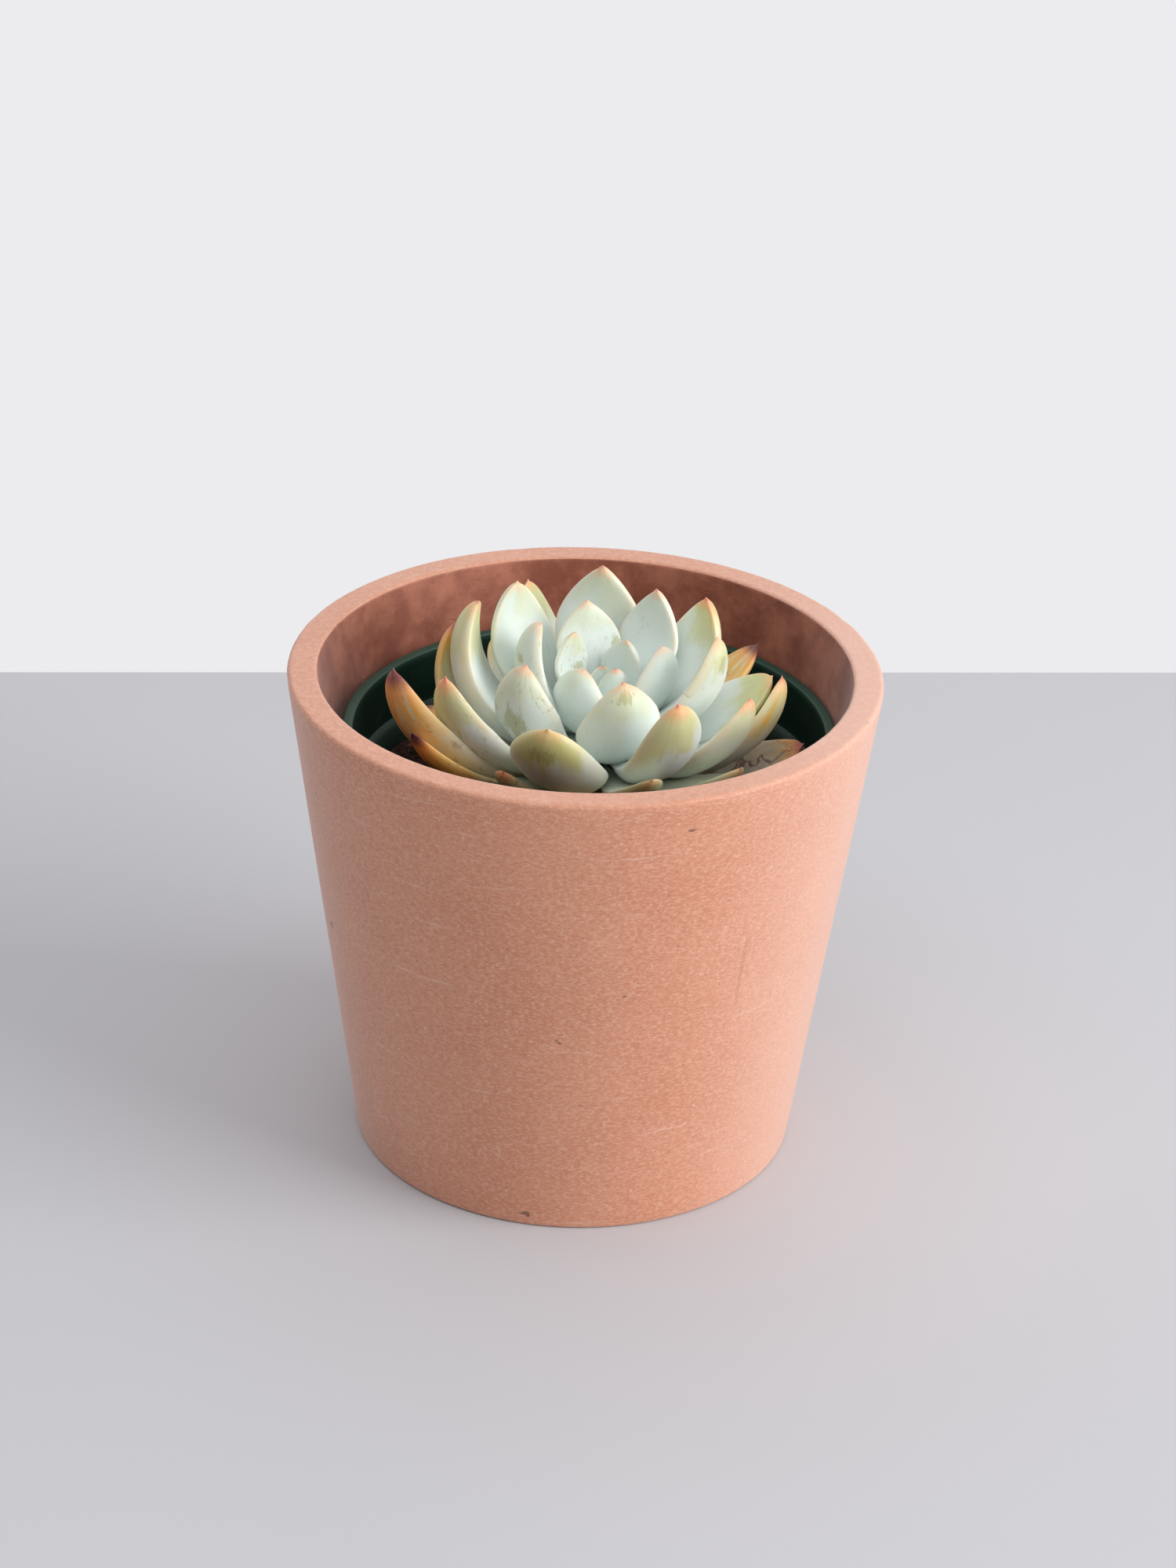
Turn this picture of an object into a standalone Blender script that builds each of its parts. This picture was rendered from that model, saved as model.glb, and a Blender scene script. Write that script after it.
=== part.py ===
"""Potted succulent: a rosette plant in a thin nursery pot, standing inside a tapered planter.

Units are metres, +Z is up, and the origin is the middle of the planter's foot.
Every leaf, the stem, the soil and both pots are separate closed solids.
"""
import math

import bmesh
import bpy
from mathutils import Matrix, Vector
from mathutils.bvhtree import BVHTree

MM = 0.001

# Driving dimensions, in metres
PLANTER_RADIUS = 75 * MM            # outside, at the rim
PLANTER_HEIGHT = 130 * MM
PLANTER_TAPER = 18 * MM             # how much narrower the foot's radius is
PLANTER_WALL = 8 * MM
PLANTER_FLOOR = 9 * MM

NURSERY_RIM_RADIUS = 62.5 * MM
NURSERY_RIM_TOP = 113.5 * MM
NURSERY_WALL = 1.2 * MM
NURSERY_COLLAR = 15 * MM            # depth of the wide band under the rim
NURSERY_FOOT_RADIUS = 44 * MM
NURSERY_SHIFT = 1.4 * MM            # it stands a little off the planter's middle, towards +X

SOIL_TOP = 94.5 * MM
STEM_RADIUS = 5.5 * MM
STEM_TOP = 119 * MM
FIRST_LEAF = 117.5 * MM             # where the youngest leaf joins the stem
LEAF_STEP = 0.4 * MM                # each older leaf joins this much lower

GAP = 0.3 * MM                      # clearance between pieces that touch
CONTACT_GAP = 0.6 * MM              # clearance that neighbouring leaves yield to
POT_SEGMENTS = 64
LEAF_STATIONS = 9
LEAF_SIDES = 8
LEAF_SLIMNESS = 0.90                # the solid leaf, as a share of the living one


def remove_everything():
    """Start from an empty scene."""
    for item in list(bpy.data.objects):
        bpy.data.objects.remove(item)


def material(name, colour, roughness, metallic=0.0):
    """A plain Principled material."""
    made = bpy.data.materials.new(name)
    made.use_nodes = True
    made.diffuse_color = (*colour, 1.0)
    shader = made.node_tree.nodes["Principled BSDF"]
    shader.inputs["Base Color"].default_value = (*colour, 1.0)
    shader.inputs["Roughness"].default_value = roughness
    shader.inputs["Metallic"].default_value = metallic
    return made


def add_object(name, mesh, finish):
    """Link a mesh as one named object, shaded smooth between its sharp edges."""
    mesh.shade_smooth()
    mesh.set_sharp_from_angle(angle=math.radians(40))
    mesh.materials.append(finish)
    made = bpy.data.objects.new(name, mesh)
    bpy.context.collection.objects.link(made)
    return made


def rings_to_mesh(name, rings, first_pole, last_pole):
    """Skin a stack of closed rings of points and close both ends on a pole."""
    shape = bmesh.new()
    loops = [[shape.verts.new(point) for point in ring] for ring in rings]
    for lower, upper in zip(loops, loops[1:]):
        for i in range(len(lower)):
            j = (i + 1) % len(lower)
            shape.faces.new((lower[i], lower[j], upper[j], upper[i]))
    for loop, pole in ((loops[0], first_pole), (loops[-1], last_pole)):
        tip = shape.verts.new(pole)
        for i in range(len(loop)):
            shape.faces.new((loop[i], loop[(i + 1) % len(loop)], tip))
    bmesh.ops.recalc_face_normals(shape, faces=shape.faces)
    bmesh.ops.triangulate(shape, faces=shape.faces)
    mesh = bpy.data.meshes.new(name)
    shape.to_mesh(mesh)
    shape.free()
    return mesh


def turned(name, profile, centre_x=0.0, segments=POT_SEGMENTS):
    """Turn an outline of (radius, height) points about a vertical axis.

    The outline starts and ends on the axis, so the solid is closed.
    """
    rings = []
    for radius, height in profile[1:-1]:
        angles = (math.tau * i / segments for i in range(segments))
        rings.append([(centre_x + radius * math.cos(a), radius * math.sin(a), height) for a in angles])
    first_pole = (centre_x, 0.0, profile[0][1])
    last_pole = (centre_x, 0.0, profile[-1][1])
    return rings_to_mesh(name, rings, first_pole, last_pole)


def corner(centre_r, centre_z, radius, start, end, steps=3):
    """Points of a rounded edge, from one angle to the other in degrees."""
    points = []
    for i in range(steps + 1):
        angle = math.radians(start + (end - start) * i / steps)
        points.append((centre_r + radius * math.cos(angle), centre_z + radius * math.sin(angle)))
    return points


def planter():
    """The fired clay planter: a tapered cup with a softly broken rim and foot."""
    edge = 1.2 * MM
    foot_radius = PLANTER_RADIUS - PLANTER_TAPER
    inner_top = PLANTER_RADIUS - PLANTER_WALL
    inner_foot = foot_radius - PLANTER_WALL
    profile = [(0.0, 0.0)]
    profile += corner(foot_radius - edge, edge, edge, -90, 0)
    profile += corner(PLANTER_RADIUS - edge, PLANTER_HEIGHT - edge, edge, 0, 90)
    profile += corner(inner_top + edge, PLANTER_HEIGHT - edge, edge, 90, 180)
    profile += corner(inner_foot - 3 * edge, PLANTER_FLOOR + 3 * edge, 3 * edge, 0, -90)
    profile += [(0.0, PLANTER_FLOOR)]
    clay = material("clay", (0.58, 0.31, 0.23), 0.75)
    return add_object("planter", turned("planter", profile), clay)


def nursery_pot():
    """The thin grower's pot: a rolled lip, a straight collar, a ledge and a tapered body."""
    foot = PLANTER_FLOOR + GAP
    ledge = NURSERY_RIM_TOP - NURSERY_COLLAR
    collar_radius = NURSERY_RIM_RADIUS - 1.6 * MM
    body_radius = collar_radius - 2.6 * MM
    floor_top = foot + NURSERY_WALL
    profile = [
        (0.0, foot),
        (NURSERY_FOOT_RADIUS, foot),
        (body_radius, ledge - 1 * MM),
        (collar_radius - 0.6 * MM, ledge),
        (collar_radius, NURSERY_RIM_TOP - 2.2 * MM),
        (NURSERY_RIM_RADIUS, NURSERY_RIM_TOP - 1.4 * MM),
        (NURSERY_RIM_RADIUS, NURSERY_RIM_TOP - 0.3 * MM),
        (NURSERY_RIM_RADIUS - 0.4 * MM, NURSERY_RIM_TOP),
        (collar_radius - NURSERY_WALL, NURSERY_RIM_TOP),
        (collar_radius - 0.6 * MM - NURSERY_WALL, ledge + NURSERY_WALL),
        (body_radius - NURSERY_WALL, ledge),
        (NURSERY_FOOT_RADIUS - NURSERY_WALL, floor_top),
        (0.0, floor_top),
    ]
    plastic = material("nursery plastic", (0.02, 0.06, 0.045), 0.4)
    pot = add_object("nursery_pot", turned("nursery_pot", profile, NURSERY_SHIFT), plastic)
    drill_drain_holes(pot, floor_top)
    return pot


def drill_drain_holes(pot, floor_top):
    """Six drain holes on a circle through the nursery pot's floor."""
    hole_radius = 4 * MM
    circle_radius = 28 * MM
    holes = 6
    drills = bmesh.new()
    for i in range(holes):
        angle = math.tau * (i + 0.5) / holes
        place = (NURSERY_SHIFT + circle_radius * math.cos(angle), circle_radius * math.sin(angle), floor_top)
        bmesh.ops.create_cone(drills, cap_ends=True, segments=12, radius1=hole_radius, radius2=hole_radius,
                              depth=8 * MM, matrix=Matrix.Translation(place))
    mesh = bpy.data.meshes.new("drain_drills")
    drills.to_mesh(mesh)
    drills.free()
    cut_with(pot, mesh)


def cut_with(piece, mesh):
    """Take a closed cutter mesh away from a piece."""
    cutter = bpy.data.objects.new(mesh.name, mesh)
    cutter.hide_render = True
    cutter.display_type = "WIRE"
    bpy.context.collection.objects.link(cutter)
    cut = piece.modifiers.new(mesh.name, "BOOLEAN")
    cut.operation = "DIFFERENCE"
    cut.solver = "EXACT"
    cut.object = cutter


def soil_relief(x, y):
    """Height of the loose soil's gentle humps."""
    waves = math.sin(x / (9 * MM)) * math.cos(y / (11 * MM)) + 0.5 * math.sin((x + 2 * y) / (6 * MM))
    return 0.5 * MM * waves


def soil():
    """The root ball: it fills the nursery pot up to a softly uneven top."""
    ledge = NURSERY_RIM_TOP - NURSERY_COLLAR
    inner_ledge = NURSERY_RIM_RADIUS - 4.2 * MM - NURSERY_WALL - GAP
    inner_foot = NURSERY_FOOT_RADIUS - NURSERY_WALL - 2 * GAP
    bottom = PLANTER_FLOOR + NURSERY_WALL + 2 * GAP
    slope = (inner_ledge - inner_foot) / (ledge - bottom)
    segments = 40
    levels = [bottom, bottom + 0.5 * (SOIL_TOP - bottom), SOIL_TOP - 1.5 * MM]
    rings = []
    for height in levels:
        radius = inner_foot + slope * (height - bottom) - GAP
        rings.append([(radius, i, height) for i in range(segments)])
    top_radius = inner_foot + slope * (SOIL_TOP - bottom) - 2 * GAP
    for share in (0.97, 0.8, 0.6, 0.4, 0.2):
        rings.append([(top_radius * share, i, None) for i in range(segments)])
    placed = []
    for ring in rings:
        points = []
        for radius, i, height in ring:
            angle = math.tau * i / segments
            x = radius * math.cos(angle)
            y = radius * math.sin(angle)
            z = SOIL_TOP + soil_relief(x, y) if height is None else height
            points.append((NURSERY_SHIFT + x, y, z))
        placed.append(points)
    peak = (NURSERY_SHIFT, 0.0, SOIL_TOP + soil_relief(0.0, 0.0))
    mesh = rings_to_mesh("soil", placed, (NURSERY_SHIFT, 0.0, bottom), peak)
    return add_object("soil", mesh, material("soil", (0.09, 0.055, 0.035), 0.95))


def stem_axis(height):
    """The stem's middle at a height: it leans a little to +X and forward as it rises."""
    rise = (height - SOIL_TOP) / (28 * MM)
    return Vector((2 * MM + 4 * MM * rise, 1 * MM - 2 * MM * rise, height))


def stem_radius(height):
    """The stem is stout at the soil and fine at the growing tip."""
    low = SOIL_TOP + 9 * MM
    if height <= low:
        return STEM_RADIUS
    share = (height - low) / (STEM_TOP - low)
    return STEM_RADIUS * (1 - 0.7 * share)


def stem_rings(grow):
    """Rings of points up the stem, grown outward by a clearance."""
    foot = SOIL_TOP - 14 * MM
    levels = 9
    sides = 16
    rings = []
    for k in range(levels):
        height = foot + (STEM_TOP - foot) * k / (levels - 1)
        middle = stem_axis(height)
        radius = (stem_radius(height) if k else 0.6 * STEM_RADIUS) + grow
        angles = (math.tau * i / sides for i in range(sides))
        rings.append([middle + Vector((radius * math.cos(a), radius * math.sin(a), 0)) for a in angles])
    ends = [stem_axis(foot) - Vector((0, 0, grow)), stem_axis(STEM_TOP) + Vector((0, 0, 0.6 * MM + grow))]
    return rings, ends


def stem(soil_object):
    """The short stem, with its root stub let into a socket in the soil."""
    rings, ends = stem_rings(0.0)
    green = material("stem", (0.42, 0.40, 0.22), 0.7)
    made = add_object("stem", rings_to_mesh("stem", rings, *ends), green)
    rings, ends = stem_rings(GAP)
    cut_with(soil_object, rings_to_mesh("stem_socket", rings, *ends))
    return made


# The leaves, youngest first, as they join the stem from its tip downward.
# turn: the way the leaf points, anticlockwise from +X; foot rise and tip rise: how steeply it
# climbs where it leaves the stem and at its tip; roll: its tilt about its own length;
# sweep: how far it bends sideways. Angles are in degrees, length and width in millimetres.
LEAVES = (
    # turn, foot rise, tip rise, length, width, roll, sweep
    (125, 82, 103, 13, 7, -15, -5),
    (-70, 73, 78, 17, 8, -5, 0),
    (50, 65, 88, 20, 13, 5, -10),
    (165, 44, 109, 25, 11, -30, 0),
    (-15, 30, 98, 27, 15, -20, 0),
    (110, 42, 96, 31, 17, -10, 15),
    (-125, 22, 123, 22, 17, 5, -20),
    (50, 34, 95, 37, 17, 15, -15),
    (-20, 11, 88, 43, 19, -5, 5),
    (185, 18, 115, 36, 16, 12, -15),
    (-80, 0, 100, 37, 21, 10, 5),
    (30, 10, 93, 44, 19, 15, -10),
    (95, 21, 102, 44, 23, -10, -15),
    (150, 15, 101, 46, 19, -20, 0),
    (-140, -7, 110, 40, 18, 25, -10),
    (180, -11, 116, 56, 18, 8, -20),
    (120, 6, 73, 47, 14, 15, 5),
    (0, 2, 53, 45, 16, 30, -10),
    (65, 6, 40, 42, 17, 0, 0),
    (-60, -2, 77, 55, 20, 15, -20),
    (-150, -18, 87, 55, 17, 30, -10),
    (30, 2, 48, 46, 15, 0, -5),
    (-30, -10, 76, 49, 19, -5, 5),
    (95, 5, 44, 46, 18, 0, 0),
    (165, -22, 104, 55, 19, -25, 5),
    (-110, -1, 69, 49, 25, -5, 10),
    (-5, -21, 84, 55, 18, -15, -5),
    (-160, -17, 80, 65, 21, 25, -5),
    (130, 6, 40, 42, 18, 5, 0),
    (60, 8, 40, 45, 17, 0, 0),
    (-40, -13, 48, 45, 16, -5, 0),
    (-75, 3, 43, 51, 13, 5, 0),
    (-130, -15, 54, 39, 13, -5, 15),
    (-150, -15, 60, 55, 13, 15, 0),
    (0, -22, 42, 50, 18, 15, -10),
    (85, 4, 25, 44, 17, 0, 0),
    (125, 3, 22, 44, 17, 0, 0),
    (-55, -19, 18, 40, 12, 5, 0),
    (155, -6, 19, 45, 15, 0, 0),
    (40, 0, 20, 44, 17, 0, 0),
    (-95, -10, 20, 41, 16, 0, 0),
)


def half_width(along):
    """Outline of a leaf, 0 to 1: a narrow foot, widest past the middle, a pointed tip."""
    widest = 0.62
    foot = 0.19
    if along <= widest:
        return foot + (1 - foot) * math.sin(0.5 * math.pi * along / widest) ** 1.3
    past = (along - widest) / (1 - widest)
    return 0.8 * math.sqrt(max(0.0, 1 - past ** 2.1)) + 0.2 * (1 - past)


def half_depth(along):
    """Thickness along a leaf, 0 to 1: fleshiest before the middle."""
    fattest = 0.42
    foot = 0.33
    if along <= fattest:
        return foot + (1 - foot) * math.sin(0.5 * math.pi * along / fattest)
    past = (along - fattest) / (1 - fattest)
    return math.sqrt(max(0.0, 1 - past ** 2.4))


def midrib(number, turn, foot_rise, tip_rise, length, roll, sweep, stations):
    """Walk up a leaf's midrib; each station has its point, side and upper directions."""
    height = FIRST_LEAF - number * LEAF_STEP
    heading = math.radians(turn)
    reach = stem_radius(height) + GAP
    point = stem_axis(height) + reach * Vector((math.cos(heading), math.sin(heading), 0))
    walked = []
    ahead = None
    substeps = 4
    for k in range(stations * substeps + 1):
        along = k / (stations * substeps)
        bearing = heading + math.radians(sweep) * along ** 1.5
        rise = math.radians(foot_rise + (tip_rise - foot_rise) * along)
        outward = Vector((math.cos(bearing), math.sin(bearing), 0))
        next_ahead = outward * math.cos(rise) + Vector((0, 0, math.sin(rise)))
        if ahead:
            point = point + (ahead + next_ahead) * (0.5 * length / (stations * substeps))
        ahead = next_ahead
        upper = Vector((0, 0, math.cos(rise))) - outward * math.sin(rise)
        side = upper.cross(ahead)
        tilt = math.radians(roll) * min(1.0, 1.5 * along)
        if k % substeps == 0:
            walked.append((along, point, side * math.cos(tilt) + upper * math.sin(tilt),
                           upper * math.cos(tilt) - side * math.sin(tilt)))
    return walked


def leaf_mesh(name, number, turn, foot_rise, tip_rise, length, width, roll, sweep):
    """One fleshy leaf: nearly flat above, deeply rounded below, its margins a little raised."""
    plump = 0.36 if number < 12 else 0.34 if number < 20 else 0.30
    depth = plump * width * LEAF_SLIMNESS
    above, below = 0.55, 1.45
    cup = 0.12
    rings = []
    walked = midrib(number, turn, foot_rise, tip_rise, length * MM, roll, sweep, LEAF_STATIONS)
    for along, point, side, upper in walked[:-1]:
        half_w = 0.5 * width * MM * half_width(along) * LEAF_SLIMNESS
        half_d = 0.5 * depth * MM * half_depth(along)
        ring = []
        for i in range(LEAF_SIDES):
            angle = math.tau * (i + 0.5) / LEAF_SIDES
            across = math.copysign(abs(math.cos(angle)) ** 0.9, math.cos(angle))
            lift = math.sin(angle)
            if lift > 0:
                lift = above * lift ** 1.1
            else:
                lift = -below * (-lift) ** 0.95
            ring.append(point + side * (half_w * across) + upper * (half_d * lift + cup * half_w * across ** 2))
        rings.append(ring)
    return rings_to_mesh(name, rings, walked[0][1], walked[-1][1])


def press_apart(leaves, fixed):
    """Let touching leaves yield to each other, as soft growing leaves do, until a gap is left.

    A vertex too near another leaf, or inside it, moves along that leaf's outward normal.
    Leaves share the yielding; the stem and the soil stay as they are.
    """
    rounds = 25
    pieces = leaves + fixed
    for _ in range(rounds):
        trees = [BVHTree.FromPolygons([v.co for v in mesh.vertices], [p.vertices for p in mesh.polygons])
                 for mesh in pieces]
        boxes = [bounding_box(mesh) for mesh in pieces]
        moved = False
        for a, mesh in enumerate(leaves):
            pushes = {}
            for b, tree in enumerate(trees):
                if a != b and not boxes_apart(boxes[a], boxes[b], CONTACT_GAP):
                    add_pushes(pushes, mesh, tree, 1.0 if b >= len(leaves) else 0.6)
            for index, push in pushes.items():
                mesh.vertices[index].co += push
                moved = True
        if not moved:
            break


def add_pushes(pushes, mesh, tree, share):
    """Add the pushes that clear a mesh's vertices of a neighbour, given as a search tree."""
    reach = 4 * MM
    longest = 0.5 * MM
    for vertex in mesh.vertices:
        near, normal, _, distance = tree.find_nearest(vertex.co, reach)
        if near is None or distance == 0:
            continue
        inside = (vertex.co - near).dot(normal) < -0.98 * distance
        if inside or distance < CONTACT_GAP:
            depth = distance if inside else -distance
            push = normal * min(longest, share * (CONTACT_GAP + depth))
            pushes[vertex.index] = pushes.get(vertex.index, Vector()) + push


def bounding_box(mesh):
    """Lowest and highest corners of a mesh."""
    columns = list(zip(*(v.co for v in mesh.vertices)))
    return [min(c) for c in columns], [max(c) for c in columns]


def boxes_apart(first, second, margin):
    """Whether two boxes are further apart than a margin on some axis."""
    return any(first[0][k] > second[1][k] + margin or second[0][k] > first[1][k] + margin for k in range(3))


def leaf_finish(number):
    """Mint green for the young leaves, turning yellow and then amber with age."""
    if number < 22:
        return material(f"young leaf {number + 1}", (0.52, 0.62, 0.50), 0.45)
    if number < 30:
        return material(f"mature leaf {number + 1}", (0.60, 0.60, 0.30), 0.5)
    return material(f"old leaf {number + 1}", (0.62, 0.36, 0.12), 0.6)


def leaves(stem_object, soil_object):
    """All the leaves of the rosette, pressed clear of each other and of the stem."""
    meshes = [leaf_mesh(f"leaf_{n + 1:02d}", n, *row) for n, row in enumerate(LEAVES)]
    press_apart(meshes, [stem_object.data, soil_object.data])
    return [add_object(mesh.name, mesh, leaf_finish(n)) for n, mesh in enumerate(meshes)]


remove_everything()
planter()
nursery_pot()
root_ball = soil()
short_stem = stem(root_ball)
leaves(short_stem, root_ball)
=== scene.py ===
"""The looks of the potted succulent: a clay planter, a grower's pot, soil, stem and rosette."""

import math

import bmesh
import bpy
from mathutils import Matrix, Vector, noise


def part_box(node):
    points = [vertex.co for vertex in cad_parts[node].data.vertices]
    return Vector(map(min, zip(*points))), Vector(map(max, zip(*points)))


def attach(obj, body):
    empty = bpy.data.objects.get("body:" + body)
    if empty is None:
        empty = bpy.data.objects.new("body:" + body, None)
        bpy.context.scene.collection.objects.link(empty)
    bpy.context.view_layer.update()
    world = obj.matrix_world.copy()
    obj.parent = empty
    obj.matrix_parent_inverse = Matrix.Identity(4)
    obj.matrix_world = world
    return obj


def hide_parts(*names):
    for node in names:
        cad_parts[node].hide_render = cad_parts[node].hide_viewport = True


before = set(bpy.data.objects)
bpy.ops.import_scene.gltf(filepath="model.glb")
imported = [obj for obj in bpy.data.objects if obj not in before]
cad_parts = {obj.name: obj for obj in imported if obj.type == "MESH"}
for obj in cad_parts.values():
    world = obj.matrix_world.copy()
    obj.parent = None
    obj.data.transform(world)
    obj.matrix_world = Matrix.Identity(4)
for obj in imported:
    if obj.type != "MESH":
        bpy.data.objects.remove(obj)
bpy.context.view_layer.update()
MM = 0.001


# ---------------------------------------------------------------------------------------------
# The planter. A tapered cover pot cast in a fine pinkish clay mix and left unglazed. The wall
# is smooth with a faint mottled grain, and the rim is softly broken and rubbed a little paler,
# its top also painted paler as painted light.
# ---------------------------------------------------------------------------------------------

class Field:
    """A node socket used like a number: each operator adds the Math node that works it out."""

    def __init__(self, tree, socket=None):
        self.tree = tree
        self.socket = socket

    def node(self, kind, settings=None, inputs=None, out=0):
        """Add any node: its type, its settings, then the values or links of its sockets."""
        made = self.tree.nodes.new(kind)
        for key, value in (settings or {}).items():
            setattr(made, key, value)
        for place, value in (inputs or {}).items():
            if isinstance(value, Field):
                self.tree.links.new(value.socket, made.inputs[place])
            else:
                made.inputs[place].default_value = value
        return Field(self.tree, made.outputs[out] if len(made.outputs) else None)

    def other(self, out):
        """Another output of the node that this field comes from."""
        return Field(self.tree, self.socket.node.outputs[out])

    def maths(self, operation, *values):
        """Add one Math node on the values."""
        return self.node("ShaderNodeMath", {"operation": operation}, dict(enumerate(values)))

    def mix(self, first, second):
        """Blend two colours, this field being the share of the second."""
        return self.node("ShaderNodeMix", {"data_type": "RGBA"}, {0: self, 6: first, 7: second}, out=2)

    def between(self, low, high):
        """0 below the low value, 1 above the high one, smooth between them."""
        return self.node("ShaderNodeMapRange", {"interpolation_type": "SMOOTHSTEP"},
                         {"Value": self, "From Min": low, "From Max": high})

    def __add__(self, other):
        return self.maths("ADD", self, other)

    def __radd__(self, other):
        return self.maths("ADD", other, self)

    def __sub__(self, other):
        return self.maths("SUBTRACT", self, other)

    def __rsub__(self, other):
        return self.maths("SUBTRACT", other, self)

    def __mul__(self, other):
        return self.maths("MULTIPLY", self, other)

    def __rmul__(self, other):
        return self.maths("MULTIPLY", other, self)

    def __truediv__(self, other):
        return self.maths("DIVIDE", self, other)

    def __pow__(self, other):
        return self.maths("POWER", self, other)

    def __gt__(self, other):
        return self.maths("GREATER_THAN", self, other)

    def __abs__(self):
        return self.maths("ABSOLUTE", self)


def rgba(*display):
    """Red, green and blue of 0 to 255, as screens show them, as an opaque linear colour."""
    linear = (((c / 255 + 0.055) / 1.055) ** 2.4 if c > 10 else c / 3294.6 for c in display)
    return (*linear, 1.0)


def begin_material(name, **constants):
    """A Principled material with the values that are the same all over it."""
    made = bpy.data.materials.new(name)
    made.use_nodes = True
    shader = made.node_tree.nodes["Principled BSDF"]
    for socket, value in constants.items():
        shader.inputs[socket.replace("_", " ")].default_value = value
    return made, Field(made.node_tree), shader


def feed(shader, **fields):
    """Link fields to a shader's varying inputs."""
    for socket, field in fields.items():
        field.tree.links.new(field.socket, shader.inputs[socket.replace("_", " ")])


def grain(ink, vector, scale, detail=3.0, roughness=0.5, stretch=(1, 1, 1), turn=(0, 0, 0)):
    """A noise pattern of 0 to 1 at a scale in cycles per metre, if need be stretched or turned."""
    if stretch != (1, 1, 1) or turn != (0, 0, 0):
        vector = ink.node("ShaderNodeMapping", {}, {"Vector": vector, "Scale": stretch, "Rotation": turn})
    return ink.node("ShaderNodeTexNoise", {},
                    {"Vector": vector, "Scale": scale, "Detail": detail, "Roughness": roughness})


CLAY_DEEP = rgba(207, 135, 101)
CLAY_LIGHT = rgba(214, 144, 110)
PALE_GRAIN = rgba(229, 173, 145)
DARK_GRAIN = rgba(190, 120, 94)
FINE_GRAIN = rgba(184, 120, 96)
SCRATCH = rgba(240, 204, 186)
DARK_SPECK = rgba(150, 92, 74)
PALE_SPECK = rgba(240, 205, 188)
PAINTED_NICK_SHADE = rgba(112, 70, 58)
RUBBED_AND_LIT_EDGE = rgba(214, 160, 136)
PAINTED_SHADE_INSIDE_DEEP = rgba(138, 71, 49)
PAINTED_SHADE_INSIDE_PALE = rgba(184, 114, 89)
PAINTED_LIGHT_TINT = rgba(244, 208, 192)
PAINTED_CREASE_SHADE = rgba(168, 106, 88)
CREASE_BEARING = 0.64


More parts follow.
